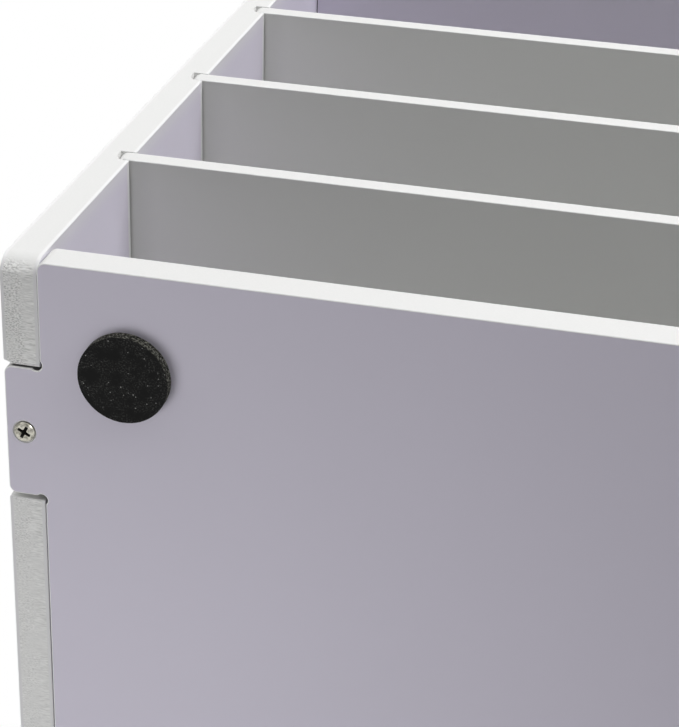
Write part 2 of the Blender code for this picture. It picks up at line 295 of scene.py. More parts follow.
def arc(centre, start, end, bulge, steps):
    """Points from start to end round the centre, by the way that passes bulge."""
    first = start - centre
    last = end - centre
    turn = math.atan2(first.cross(last), first.dot(last))
    middle = Matrix.Rotation(turn / 2, 2) @ first
    if middle.dot(bulge - centre) < 0:
        turn -= math.copysign(math.tau, turn)
    return [centre + Matrix.Rotation(turn * i / steps, 2) @ first for i in range(steps + 1)]


def is_level(way):
    """True for a way that runs more along an outline's first axis than along its second."""
    return abs(way.y) < abs(way.x)


def corner_points(before, corner, after):
    """Points of one corner: rounded, creased, where the round meets the level edge at an angle, or
    relieved, with the round that a milling bit leaves past the corner."""
    x, y, treatment, radius = corner
    place = Vector((x, y))
    back = (Vector(before[:2]) - place).normalized()
    onward = (Vector(after[:2]) - place).normalized()
    steps = max(ROUND_STEPS, math.ceil(radius * math.pi / 2 / FINE_STEP))
    if treatment == "creased":
        crease = math.radians(SIDE_CREASE_DEGREES)
        starts = [radius * (1 - math.sin(crease)) if is_level(way) else radius * math.cos(crease)
                  for way in (back, onward)]
        level, upright = (back, onward) if is_level(back) else (onward, back)
        centre = place + level * radius + upright * radius * math.cos(crease)
        return arc(centre, place + back * starts[0], place + onward * starts[1], place, steps)
    if treatment == "rounded":
        half_angle = back.angle(onward) / 2
        reach = radius / math.tan(half_angle)
        centre = place + (back + onward).normalized() * radius / math.sin(half_angle)
        if radius <= MOUTH_RADIUS:
            steps = ARRIS_STEPS
        return arc(centre, place + back * reach, place + onward * reach, place, steps)
    chord = radius * math.sqrt(2)
    centre = place + (back + onward) * chord / 2
    return arc(centre, place + back * chord, place + onward * chord, place, steps)


def outline(corners, is_fine):
    """The corners' points, and points between them, close together where is_fine says."""
    rough = []
    for index, corner in enumerate(corners):
        rough.extend(corner_points(corners[index - 1], corner, corners[(index + 1) % len(corners)]))
    points = []
    for here, there in zip(rough, rough[1:] + rough[:1]):
        length = (there - here).length
        step = FINE_STEP if is_fine(here, there) else COARSE_STEP
        count = max(1, round(length / step))
        points.extend(here.lerp(there, i / count) for i in range(count))
    return np.array([tuple(point) for point in points])


def mitres(points):
    """For each point of an outline, the vector that moves it outwards with both its sides."""
    onward = np.roll(points, -1, axis=0) - points
    onward /= np.linalg.norm(onward, axis=1)[:, None]
    after = np.column_stack((onward[:, 1], -onward[:, 0]))
    before = np.roll(after, 1, axis=0)
    return (before + after) / (1 + np.sum(before * after, axis=1))[:, None]


# Boards


def board_rows(thickness, step, arris):
    """Rows of a rim from one face to the other: (inset, height)."""
    angles = np.linspace(0, math.pi / 2, ARRIS_STEPS + 1)
    low = [(arris * (1 - math.sin(a)), arris * (1 - math.cos(a))) for a in angles]
    flat = thickness - 2 * arris
    count = max(1, round(flat / step))
    middle = [(0.0, arris + flat * i / count) for i in range(1, count)]
    high = [(inset, thickness - height) for inset, height in reversed(low)]
    return low + middle + high


def board_grid(points, thickness, step, arris=ARRIS, relief=None):
    """Vertices of a board's rim, an array of rows by points by (x, y, height)."""
    outwards = mitres(points)
    grid = []
    for inset, height in board_rows(thickness, step, arris):
        row = points - outwards * inset
        if relief is not None:
            row = row + outwards * relief(points, outwards, height)[:, None]
        grid.append(np.column_stack((row, np.full(len(points), height))))
    return np.array(grid)


def board_mesh(name, grid, turn, materials):
    """A closed mesh of the rim and both faces, with the first material on the faces."""
    rows, count = grid.shape[:2]
    faces = []
    for r in range(rows - 1):
        low = r * count
        for i in range(count):
            j = (i + 1) % count
            faces.append((low + i, low + j, low + count + j, low + count + i))
    rim_faces = len(faces)
    faces.append(tuple(reversed(range(count))))
    faces.append(tuple(range((rows - 1) * count, rows * count)))
    places = grid.reshape(-1, 3) @ np.array(turn).T
    mesh = bpy.data.meshes.new(name)
    mesh.from_pydata([tuple(place) for place in places], [], faces)
    for material in materials:
        mesh.materials.append(material)
    slots = np.zeros(len(faces), np.int32)
    slots[:rim_faces] = 1
    mesh.polygons.foreach_set("material_index", slots)
    return mesh


def box_mesh(low, high):
    """A closed box whose faces lie in slot 1."""
    bm = bmesh.new()
    bmesh.ops.create_cube(bm, size=1)
    size = Vector(high) - Vector(low)
    middle = (Vector(high) + Vector(low)) / 2
    placing = Matrix.Translation(middle) @ Matrix.Diagonal((*size, 1))
    bmesh.ops.transform(bm, matrix=placing, verts=bm.verts)
    for face in bm.faces:
        face.material_index = 1
    return finished(bm, "box")


def ring_mesh(name, rings, slot, placing=Matrix.Identity(4)):
    """A closed solid through rings of points, one after another, with flat ends, then put in place."""
    bm = bmesh.new()
    loops = [[bm.verts.new(point) for point in ring] for ring in rings]
    for lower, upper in zip(loops, loops[1:]):
        count = len(lower)
        for i in range(count):
            j = (i + 1) % count
            bm.faces.new((lower[i], lower[j], upper[j], upper[i]))
    bm.faces.new(loops[0])
    bm.faces.new(loops[-1])
    for face in bm.faces:
        face.material_index = slot
    bmesh.ops.transform(bm, matrix=placing, verts=bm.verts)
    return finished(bm, name)


def groove_mesh(hand, low, high):
    """A shelf's groove in a side board, as a cutter whose lower corner is round like the shelf's end."""
    outer = hand * (high.x + FIT_GAP)
    inner = hand * (INNER_HALF_WIDTH - OVERRUN)
    bottom = low.z - SHELF_GAP_BELOW
    top = high.z + SHELF_GAP_ABOVE
    section = [Vector((inner, top)), Vector((inner, bottom))]
    for angle in np.linspace(0, math.pi / 2, ROUND_STEPS):
        section.append(Vector((outer - hand * GROOVE_ROUND_WIDTH * (1 - math.sin(angle)),
                               bottom + GROOVE_ROUND_HEIGHT * (1 - math.cos(angle)))))
    section.append(Vector((outer, top)))
    rings = [[(point.x, y, point.y) for point in section]
             for y in (FRONT_Y - OVERRUN, (BACK_LOW.y + BACK_HIGH.y) / 2)]
    return ring_mesh("groove", rings, 1)


def turned_mesh(profile, slot=0, placing=Matrix.Identity(4)):
    """A closed solid turned round Z from (radius, height) pairs, then put in place."""
    angles = [math.tau * i / TURNED_SEGMENTS for i in range(TURNED_SEGMENTS)]
    rings = [[(radius * math.cos(a), radius * math.sin(a), height) for a in angles]
             for radius, height in profile]
    return ring_mesh("turned", rings, slot, placing)


def finished(bm, name):
    """The bmesh as a mesh, with all its faces outwards."""
    bmesh.ops.recalc_face_normals(bm, faces=bm.faces)
    mesh = bpy.data.meshes.new(name)
    bm.to_mesh(mesh)
    bm.free()
    return mesh


def cut(mesh, cutters):
    """The mesh with the cutters' meshes taken out of it, one after another."""
    thing = bpy.data.objects.new("being_cut", mesh)
    bpy.context.scene.collection.objects.link(thing)
    tools = []
    for cutter in cutters:
        for material in mesh.materials:
            cutter.materials.append(material)
        tool = bpy.data.objects.new("cutter", cutter)
        bpy.context.scene.collection.objects.link(tool)
        boolean = thing.modifiers.new("cut", "BOOLEAN")
        boolean.operation = "DIFFERENCE"
        boolean.solver = "EXACT"
        boolean.object = tool
        tools.append(tool)
    graph = bpy.context.evaluated_depsgraph_get()
    result = bpy.data.meshes.new_from_object(thing.evaluated_get(graph))
    for used in (thing, *tools):
        bpy.data.objects.remove(used)
    return result


def add_piece(name, mesh, replaced):
    """A new piece that rides with the CAD node it stands for."""
    piece = bpy.data.objects.new(name, mesh)
    bpy.context.scene.collection.objects.link(piece)
    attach(piece, frame["nodes"][replaced]["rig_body"])
    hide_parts(replaced)
    return piece


def smooth(piece, sharp_degrees):
    """Smooth shading, but for the corners that are sharper than an angle."""
    piece.data.shade_smooth()
    piece.data.set_sharp_from_angle(angle=math.radians(sharp_degrees))


def smooth_board(piece):
    """Round arrises that run smoothly into flat faces."""
    smooth(piece, BOARD_SHARP_DEGREES)
    weighted = piece.modifiers.new("weighted_normals", "WEIGHTED_NORMAL")
    weighted.keep_sharp = True
    weighted.weight = FLAT_FACE_WEIGHT


# Nodes: an owner is the material or the world that they belong to


def new_material(name):
    """A new material and its shader."""
    material = bpy.data.materials.new(name)
    material.use_nodes = True
    return material, material.node_tree.nodes["Principled BSDF"]


def set_inputs(owner, made, inputs):
    """Gives a node's inputs plain values, or links them where the value is a socket."""
    for key, value in dict(inputs).items():
        if isinstance(value, bpy.types.NodeSocket):
            owner.node_tree.links.new(value, made.inputs[key])
        else:
            made.inputs[key].default_value = value


def node(owner, kind, inputs=(), **settings):
    """A new node with its settings made, and its inputs set or linked."""
    made = owner.node_tree.nodes.new(kind)
    for key, value in settings.items():
        setattr(made, key, value)
    set_inputs(owner, made, inputs)
    return made


def math_node(owner, operation, *values):
    """The result of an operation on one or more values."""
    return node(owner, "ShaderNodeMath", enumerate(values), operation=operation).outputs[0]


def product(owner, *values):
    """All the values multiplied."""
    result = values[0]
    for value in values[1:]:
        result = math_node(owner, "MULTIPLY", result, value)
    return result


def smooth_range(material, value, low, high, to_low=0.0, to_high=1.0):
    """A smooth way from to_low, where the value is low, to to_high, where it is high."""
    made = node(material, "ShaderNodeMapRange", {
        "Value": value, "From Min": low, "From Max": high, "To Min": to_low, "To Max": to_high,
    }, interpolation_type="SMOOTHSTEP")
    return made.outputs["Result"]


def fade(material, value, low, high):
    """1 where the value is low, and 0 where it is high."""
    return smooth_range(material, value, low, high, 1.0, 0.0)


def object_place(material):
    """A point's place in the object's frame, in metres."""
    return node(material, "ShaderNodeTexCoord").outputs["Object"]


def coordinate(material, axis):
    """A point's place along one axis."""
    return node(material, "ShaderNodeSeparateXYZ", {"Vector": object_place(material)}).outputs[axis]


def from_middle(material):
    """How far a point lies to the left or right of the object's middle."""
    return math_node(material, "ABSOLUTE", coordinate(material, "X"))


def facing(material, axis):
    """How far a face looks along one axis, from -1 to 1."""
    normal = node(material, "ShaderNodeTexCoord").outputs["Normal"]
    return node(material, "ShaderNodeSeparateXYZ", {"Vector": normal}).outputs[axis]


def noise_node(material, place, size, detail=2.0, roughness=0.5):
    """A noise whose largest features are about size metres wide."""
    made = node(material, "ShaderNodeTexNoise", {
        "Vector": place, "Scale": 1 / size, "Detail": detail, "Roughness": roughness,
    })
    return made.outputs["Fac"]


def stretched_noise(material, place, sizes):
    """A noise whose features are about as wide along X, Y and Z as the sizes, in metres."""
    scaled = node(material, "ShaderNodeVectorMath", {0: place, 1: [1 / size for size in sizes]},
                  operation="MULTIPLY").outputs["Vector"]
    return noise_node(material, scaled, 1.0, detail=1.0)


def centred(material, share):
    """A noise moved down by half, so that it is about zero on average."""
    return math_node(material, "SUBTRACT", share, 0.5)


def shade(colour, factor=1.0):
    """An opaque colour, made lighter or darker by a factor."""
    return (*(channel * factor for channel in colour), 1.0)


def mix_colour(material, share, first, second):
    """From the first colour, where the share is 0, to the second, where it is 1."""
    return node(material, "ShaderNodeMix", {0: share, 6: first, 7: second}, data_type="RGBA").outputs[2]


def bump_node(material, height, distance):
    """Normals of a surface that rises by distance where the height is 1."""
    return node(material, "ShaderNodeBump", {"Height": height, "Distance": distance}).outputs["Normal"]


# Skins of the foam boards


def clouded(material, place, colour):
    """A colour in faint clouds."""
    darker, lighter = (shade(colour, tone) for tone in CLOUD_TONES)
    return mix_colour(material, noise_node(material, place, CLOUD_SIZE), darker, lighter)


def set_skin(material, shader, place, tone):
    """Gives the shader a smooth skin of this tone, with its faint orange peel."""
    peel = noise_node(material, place, PEEL_SIZE, detail=3.0)
    set_inputs(material, shader, {
        "Base Color": tone,
        "Roughness": smooth_range(material, peel, *PEEL_RANGE, *SKIN_ROUGHNESS),
        "Normal": bump_node(material, peel, PEEL_HEIGHT),
        "Specular IOR Level": SKIN_SHINE,
    })


def face_material():
    """The lilac skin of the top and back boards."""
    material, shader = new_material("casing_skin")
    place = object_place(material)
    set_skin(material, shader, place, clouded(material, place, FACE_COLOUR))
    return material


def bottom_face_material():
    """The bottom board's skin: lilac below, and above as neutral as the shelves."""
    material, shader = new_material("bottom_skin")
    place = object_place(material)
    above = smooth_range(material, facing(material, "Z"), *UPWARD_FACING)
    lilac = clouded(material, place, FACE_COLOUR)
    set_skin(material, shader, place, mix_colour(material, above, lilac, shade(SHELF_COLOUR)))
    return material


def side_face_material():
    """A side board's skin: paler and neutral in a narrow band along each groove, with painted shade in the
    corners by the shelves and painted light, paler and less lilac, in front.
    """
    material, shader = new_material("side_skin")
    place = object_place(material)
    height = coordinate(material, "Z")
    to_groove = None
    for name in SHELVES:
        low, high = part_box(name)
        away = math_node(material, "SUBTRACT", height, (low.z + high.z) / 2)
        distance = math_node(material, "ABSOLUTE", away)
        to_groove = distance if to_groove is None else math_node(material, "MINIMUM", to_groove, distance)
    half_way = (INNER_HALF_WIDTH + HALF_WIDTH) / 2
    along = coordinate(material, "Y")
    inside = product(material, math_node(material, "LESS_THAN", from_middle(material), half_way),
                     math_node(material, "LESS_THAN", along, BACK_LOW.y))
    lip = SHELF_BOARD / 2 + SHELF_GAP_BELOW + LIP_WIDTH
    tone = clouded(material, place, FACE_COLOUR)
    for share, colour in (
        # Painted shade: darker near each shelf, in the corner it makes with the side board
        (fade(material, to_groove, lip, lip + CORNER_SHADE_REACH), CORNER_SHADE_COLOUR),
        # Painted light: paler and less lilac towards the open front
        (fade(material, along, FRONT_Y, FRONT_Y + FRONT_LIGHT_BAND), FRONT_LIGHT_COLOUR),
        (fade(material, to_groove, lip - LIP_BLUR, lip + LIP_BLUR), LIP_COLOUR),
    ):
        tone = mix_colour(material, product(material, share, inside), tone, shade(colour))
    set_skin(material, shader, place, tone)
    return material


def shelf_face_material():
    """A shelf's skin, with painted shade under the shelf along the side boards: a narrow dark line in a
    wider fade.
    """
    material, shader = new_material("shelf_skin")
    place = object_place(material)
    from_side = math_node(material, "SUBTRACT", INNER_HALF_WIDTH, from_middle(material))
    under = product(material, math_node(material, "LESS_THAN", facing(material, "Z"), 0.0),
                    math_node(material, "GREATER_THAN", from_side, -SHELF_SHADE_CORE_WIDTH))
    tone = clouded(material, place, SHELF_COLOUR)
    for full, end, darkness in ((0.0, SHELF_SHADE_FADE_WIDTH, SHELF_SHADE_FADE_TONE),
                                (SHELF_SHADE_CORE_WIDTH, SHELF_SHADE_WIDTH, SHELF_SHADE_TONE)):
        # Painted shade in the corner under the shelf, along the side board
        shaded_under = product(material, under, fade(material, from_side, full, end))
        tone = mix_colour(material, shaded_under, tone, shade(SHELF_COLOUR, darkness))
    set_skin(material, shader, place, tone)
    return material


# Cut edges of the foam boards


def core_depth(material, axis, low, high):
    """How far a point of an edge lies from the nearer of the board's faces, at low and high. The side
    boards are a mirrored pair, so along X both are so far from the middle."""
    across = from_middle(material) if axis == "X" else coordinate(material, axis)
    to_low = math_node(material, "SUBTRACT", across, low)
    to_high = math_node(material, "SUBTRACT", high, across)
    return math_node(material, "MINIMUM", to_low, to_high)


def milled_share(material):
    """1 on the end edges of a side board, fading out round its corners."""
    return smooth_range(material, math_node(material, "ABSOLUTE", facing(material, "Z")), *MILLED_FACING)


def milled_height(material, place):
    """Torn cells over the outer part of an edge and cutter chatter inside them, about zero on average."""
    cells = centred(material, stretched_noise(material, place, CELL_SIZE))
    chatter = centred(material, stretched_noise(material, place, CHATTER_SIZE))
    drift = centred(material, noise_node(material, place, DRIFT_SIZE))
    across = math_node(material, "ADD", from_middle(material), product(material, drift, DRIFT_REACH))
    torn_from = INNER_HALF_WIDTH + CASING_BOARD * SMOOTH_PART_SHARE
    patches = stretched_noise(material, place, LIVELY_PATCH)
    patchy = smooth_range(material, patches, *LIVELY_RANGE, LIVELY_LEAST, 1.0)
    calm_from = TAB_STARTS[0]
    calming = smooth_range(material, coordinate(material, "Y"), calm_from, calm_from + TAB_LENGTH * 2,
                           1.0, CALM_SHARE)
    lively = product(material, patchy, calming)
    torn = product(material, smooth_range(material, across, torn_from - SKIN, torn_from + SKIN), calming)
    whole = math_node(material, "SUBTRACT", 1.0, torn)
    return math_node(material, "ADD", product(material, cells, torn, lively),
                     product(material, chatter, whole, lively, CHATTER_SHARE))


def painted_slit_shade(material):
    """Where shade is painted: 1 on the front walls of the tabs and in the bit rounds at their roots, away
    from the mouths.
    """
    across = from_middle(material)
    height = coordinate(material, "Z")
    from_face = math_node(material, "MINIMUM", math_node(material, "SUBTRACT", height, BASE_Z),
                          math_node(material, "SUBTRACT", TOP_Z, height))
    from_outside = math_node(material, "SUBTRACT", HALF_WIDTH, across)
    inwards = smooth_range(material, from_outside, SLIT_MOUTH, SLIT_MOUTH * 2)
    deep = smooth_range(material, from_face, SLIT_MOUTH / 4, SLIT_MOUTH / 2)
    past_joint = smooth_range(material, across, SLIT_FROM, SLIT_FULL)
    along = math_node(material, "ABSOLUTE", coordinate(material, "Y"))
    off_ends = fade(material, along, REAR_Y - TAB_FROM_EDGE / 2, REAR_Y - TAB_FROM_EDGE / 3)
    front_wall = fade(material, facing(material, "Y"), *FORWARD_FACING)
    in_round = fade(material, across, INNER_HALF_WIDTH, INNER_HALF_WIDTH + RELIEF_RADIUS)
    return product(material, inwards, deep, past_joint, off_ends,
                   math_node(material, "MAXIMUM", front_wall, in_round))


def edge_material(name, axis, low, high, milled=False, shaded_slits=False):
    """A cut edge: white foam core between the two skins, which lie at low and high along the axis. Milled
    edges get painted shade in their pits and painted light on their peaks; slit edges get painted shade
    deep in the gaps beside the tabs.
    """
    material, shader = new_material(name)
    place = object_place(material)
    skin = SKIN if milled else THIN_SKIN
    in_core = smooth_range(material, core_depth(material, axis, low, high),
                           *(skin * share for share in SKIN_BLUR))
    grain = noise_node(material, place, GRAIN_SIZE, detail=3.0, roughness=0.6)
    core_tone = mix_colour(material, grain, *(shade(CUT_COLOUR, tone) for tone in GRAIN_TONES))
    # Denser skin, and painted highlight along the arrises
    skin_and_highlight_tone = shade(CUT_SKIN_AND_HIGHLIGHT_COLOUR)
    height = product(material, grain, GRAIN_SHARE)
    if milled:
        share = milled_share(material)
        rough = product(material, milled_height(material, place), share, in_core)
        height = math_node(material, "ADD", height, rough)
        # Painted shade and light: darker in the pits of the relief, lighter on its peaks
        pit_shade = smooth_range(material, rough, *PIT_SHADE_RANGE)
        shaded_pits = mix_colour(material, pit_shade, shade(CUT_COLOUR, PIT_SHADE_SHARE), shade(CUT_COLOUR, PEAK_LIGHT_SHARE))
        core_tone = mix_colour(material, share, core_tone, shaded_pits)
        skin_and_highlight_tone = mix_colour(material, share, skin_and_highlight_tone, shade(END_SKIN_COLOUR))
    tone = mix_colour(material, in_core, skin_and_highlight_tone, core_tone)
    # Painted shade: the walls deep in the gaps beside the tabs are darkened
    if shaded_slits:
        tone = mix_colour(material, painted_slit_shade(material), tone, shade(SLIT_SHADE_COLOUR))
    set_inputs(material, shader, {
        "Base Color": tone,
        "Normal": bump_node(material, height, MILLED_HEIGHT),
        "Roughness": MILLED_ROUGHNESS if milled else CUT_ROUGHNESS,
        "Specular IOR Level": CUT_SHINE,
    })
    return material


# Foam of the feet, and metal of the screws with painted shade in their recesses


def toned(material, share, colours):
    """From the darker to the brighter of two colours."""
    return mix_colour(material, share, *(shade(colour) for colour in colours))


def foam_material():
    """Black closed-cell foam: the smooth sole, with dusty patches and pale specks."""
    material, shader = new_material("foot_sole")
    place = object_place(material)
    patches = noise_node(material, place, DUST_PATCH_SIZE)
    cells = noise_node(material, place, SOLE_CELL_SIZE)
    dusty = product(material, smooth_range(material, cells, *SOLE_CELL_RANGE),
                    smooth_range(material, patches, *DUST_PATCH_RANGE))
    grit = node(material, "ShaderNodeTexVoronoi", {"Vector": place, "Scale": 1 / SPECK_SPACING})
    specks = product(material, fade(material, grit.outputs["Distance"], *SPECK_RANGE),
                     smooth_range(material, patches, *SPECK_PATCH_RANGE))
    tone = toned(material, dusty, SOLE_COLOURS)
    set_inputs(material, shader, {
        "Base Color": mix_colour(material, specks, tone, shade(SPECK_COLOUR)),
        "Normal": bump_node(material, cells, SOLE_RELIEF),
        "Roughness": SOLE_ROUGHNESS,
        "Specular IOR Level": FOAM_SHINE,
    })
    return material


def cut_foam_material():
    """The foam pad's cut side, where the open cells catch the light."""
    material, shader = new_material("foot_cut_side")
    cells = noise_node(material, object_place(material), OPEN_CELL_SIZE, roughness=0.7)
    set_inputs(material, shader, {
        "Base Color": toned(material, smooth_range(material, cells, *OPEN_CELL_RANGE), CUT_FOAM_COLOURS),
        "Normal": bump_node(material, cells, OPEN_CELL_RELIEF),
        "Roughness": CUT_FOAM_ROUGHNESS,
        "Specular IOR Level": FOAM_SHINE,
    })
    return material


def screw_material():
    """Blotched zinc plating, rougher where it is darker."""
    material, shader = new_material("screw_plating")
    blotch = noise_node(material, object_place(material), PLATING_BLOTCH_SIZE, detail=4.0, roughness=0.65)
    set_inputs(material, shader, {
        "Base Color": toned(material, smooth_range(material, blotch, *PLATING_RANGE), PLATING_COLOURS),
        "Roughness": smooth_range(material, blotch, *PLATING_RANGE, *PLATING_ROUGHNESS),
        "Normal": bump_node(material, blotch, PLATING_RELIEF),
        "Metallic": 1.0,
    })
    return material


def recess_shade_material():
    """Painted shade: the dull dark inside of a cross recess."""
    material, shader = new_material("screw_recess")
    shade_noise = noise_node(material, object_place(material), RECESS_SHADE_NOISE_SIZE)
    set_inputs(material, shader, {
        "Base Color": toned(material, shade_noise, RECESS_SHADE_COLOURS),
        "Roughness": RECESS_SHADE_ROUGHNESS,
        "Specular IOR Level": RECESS_SHADE_SHINE,
    })
    return material


# Side boards


def side_corners():
    """A side board's outline in the (Y, Z) plane: fillets, notches and their bit rounds."""
    notch_height = CASING_BOARD + FIT_GAP
    corners = [(FRONT_Y, BASE_Z, "creased", SIDE_CORNER_RADIUS)]
    for z, step in ((BASE_Z, 1), (TOP_Z, -1)):
        inner_z = z + step * notch_height
        for start in TAB_STARTS[::step]:
            ends = (start - NOTCH_FRONT_CLEARANCE, start + TAB_LENGTH + NOTCH_REAR_CLEARANCE)[::step]
            corners.append((ends[0], z, "rounded", MOUTH_RADIUS))
            corners.append((ends[0], inner_z, "relieved", RELIEF_RADIUS))
            corners.append((ends[1], inner_z, "relieved", RELIEF_RADIUS))
            corners.append((ends[1], z, "rounded", MOUTH_RADIUS))
        far_y = REAR_Y if step > 0 else FRONT_Y
        corners.append((far_y, z, "creased", SIDE_CORNER_RADIUS))
        if step > 0:
            corners.append((far_y, TOP_Z, "creased", SIDE_CORNER_RADIUS))
    return corners


def on_end_edge(here, there):
    """True for the stretches of a side board's outline along its lower and upper end edges."""
    middle_z = (here.y + there.y) / 2
    return is_level(there - here) and min(middle_z - BASE_Z, TOP_Z - middle_z) < ARRIS


def eased(share):
    """The share with a smooth start and end."""
    return share * share * (3 - 2 * share)


def milled_relief(hand):
    """Shallow lumps of the milled end edges, as a height above the outline."""
    def relief(points, outwards, height):
        milled = eased(np.clip(np.abs(outwards[:, 1]) * 2 - 1, 0, 1))
        core = np.clip(min(height, CASING_BOARD - height) / SKIN - 1, 0, 1)
        lumps = [noise.noise(Vector((hand * height, y, z)) / LUMP_SIZE) for y, z in points]
        return LUMP_HEIGHT * np.array(lumps) * milled * core
    return relief


def soften_notches(grid, outer_height):
    """Wears down the front corners of the notches at the outer face."""
    depth = np.abs(grid[:, :, 2] - outer_height)
    across = np.clip(1 - depth / WEAR_WIDTH, 0, 1)
    for start in TAB_STARTS:
        away = start - NOTCH_FRONT_CLEARANCE - grid[:, :, 0]
        near = np.clip(1 - away / WEAR_REACH, 0, 1) * (away > -MOUTH_RADIUS)
        grid[:, :, 0] -= WEAR * across * eased(near)


def add_side_board(side, hand, materials):
    """A side board with the grooves for the shelves and the back board."""
    points = outline(side_corners(), on_end_edge)
    grid = board_grid(points, CASING_BOARD, FINE_STEP, SIDE_ARRIS, milled_relief(hand))
    outer_height = CASING_BOARD if hand > 0 else 0.0
    soften_notches(grid, outer_height)
    grid[:, :, 2] += INNER_HALF_WIDTH if hand > 0 else -HALF_WIDTH
    mesh = board_mesh(side, grid, SIDE_TURN, materials)

    cutters = [groove_mesh(hand, *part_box(name)) for name in SHELVES]
    xs = sorted((hand * (BACK_HIGH.x + FIT_GAP), hand * (INNER_HALF_WIDTH - OVERRUN)))
    cutters.append(box_mesh((xs[0], BACK_LOW.y - FIT_GAP, BACK_LOW.z - FIT_GAP),
                            (xs[1], BACK_HIGH.y + FIT_GAP, BACK_HIGH.z + FIT_GAP)))
    board = cut(mesh, cutters)
    smooth_board(add_piece(f"{side}_side_foam_board", board, f"{side}_side_board"))


# Bottom, top and back boards, and shelves


def tabbed_corners():
    """Outline of the bottom and top boards in the (X, Y) plane, with a tab at each notch."""
    front_x = INNER_HALF_WIDTH - FRONT_JOINT_GAP
    edge_x = INNER_HALF_WIDTH - JOINT_GAP
    corners = [(-front_x, FRONT_Y, "rounded", BOARD_CORNER_RADIUS),
               (front_x, FRONT_Y, "rounded", BOARD_CORNER_RADIUS)]
    for hand in (1, -1):
        for start in TAB_STARTS[::hand]:
            ends = (start, start + TAB_LENGTH)[::hand]
            roots = [front_x if y == TAB_STARTS[0] else edge_x for y in ends]
            corners.append((hand * roots[0], ends[0], "relieved", RELIEF_RADIUS))
            corners.append((hand * HALF_WIDTH, ends[0], "rounded", TAB_CORNER_RADIUS))
            corners.append((hand * HALF_WIDTH, ends[1], "rounded", TAB_CORNER_RADIUS))
            corners.append((hand * roots[1], ends[1], "relieved", RELIEF_RADIUS))
        if hand > 0:
            corners.append((edge_x, REAR_Y, "rounded", BOARD_CORNER_RADIUS))
            corners.append((-edge_x, REAR_Y, "rounded", BOARD_CORNER_RADIUS))
    return corners


def never(here, there):
    """For outlines that need no close points on their straight stretches."""
    return False


def level_turn(level):
    """From a screw's frame, which drives into the board along +Z, to its level's."""
    return Matrix.Identity(4) if level == "bottom" else Matrix.Rotation(math.pi, 4, "X")


def screw_places(level):
    """For each screw of a level: its node's name and the middle of its head's seat."""
    z = BASE_Z if level == "bottom" else TOP_Z
    x = (HALF_WIDTH + INNER_HALF_WIDTH) / 2
    places = []
    for side, hand in SIDES.items():
        for end, y in zip(ENDS, SCREW_YS):
            places.append((f"{level}_{side}_{end}_screw", Vector((hand * x, y, z))))
    return places


def add_tabbed_board(level, materials):
    """The bottom or top board, with the back board's groove and the holes for its screws."""
    grid = board_grid(outline(tabbed_corners(), never), CASING_BOARD, CASING_BOARD / RIM_STEPS)
    base_z = BOTTOM_LOW.z if level == "bottom" else TOP_LOW.z
    grid[:, :, 2] += base_z
    mesh = board_mesh(level, grid, LEVEL_TURN, materials)
    groove = (BACK_LOW.z - FIT_GAP, base_z + CASING_BOARD + OVERRUN)
    if level == "top":
        groove = (base_z - OVERRUN, BACK_HIGH.z + FIT_GAP)
    cutters = [box_mesh((-HALF_WIDTH, BACK_LOW.y - FIT_GAP, groove[0]),
                        (HALF_WIDTH, BACK_HIGH.y + FIT_GAP, groove[1]))]
    mouth_radius = HEAD_RADIUS + HEAD_CLEARANCE
    hole_radius = SHANK_RADIUS + HEAD_CLEARANCE
    hole = [(mouth_radius, -OVERRUN), (mouth_radius, 0.0), (hole_radius, HEAD_RADIUS - SHANK_RADIUS),
            (hole_radius, CASING_BOARD + OVERRUN)]
    for _, place in screw_places(level):
        cutters.append(turned_mesh(hole, 1, Matrix.Translation(place) @ level_turn(level)))
    smooth_board(add_piece(f"{level}_foam_board", cut(mesh, cutters), f"{level}_board"))


def rectangle(low_x, low_y, high_x, high_y):
    """Outline of a plain board with rounded corners."""
    return [(x, y, "rounded", BOARD_CORNER_RADIUS)
            for x, y in ((low_x, low_y), (high_x, low_y), (high_x, high_y), (low_x, high_y))]


def rounded_end(points, outwards, height):
    """How far a shelf's ends draw back at a height, to fit the round corners of the grooves."""
    share = max(0.0, 1 - height / GROOVE_ROUND_HEIGHT)
    width = GROOVE_ROUND_WIDTH - FIT_GAP + GROOVE_ROUND_GAP
    return -width * (1 - math.sqrt(1 - share ** 2)) * outwards[:, 0] ** 2


def add_shelf(name, materials):
    """A shelf, whose ends lie in the side boards' grooves."""
    low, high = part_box(name)
    points = outline(rectangle(low.x, low.y, high.x, high.y), never)
    grid = board_grid(points, SHELF_BOARD, SHELF_BOARD / ROUND_STEPS, relief=rounded_end)
    grid[:, :, 2] += low.z
    mesh = board_mesh(name, grid, LEVEL_TURN, materials)
    smooth_board(add_piece(f"{name}_foam_board", mesh, name))


def add_back_board(materials):
    """The thin board behind the shelves."""
    points = outline(rectangle(BACK_LOW.x, BACK_LOW.z, BACK_HIGH.x, BACK_HIGH.z), never)
    thickness = BACK_HIGH.y - BACK_LOW.y
    grid = board_grid(points, thickness, thickness)
    grid[:, :, 2] -= BACK_HIGH.y
    mesh = board_mesh("back", grid, BACK_TURN, materials)
    smooth_board(add_piece("back_foam_board", mesh, "back_board"))


# Screws and feet


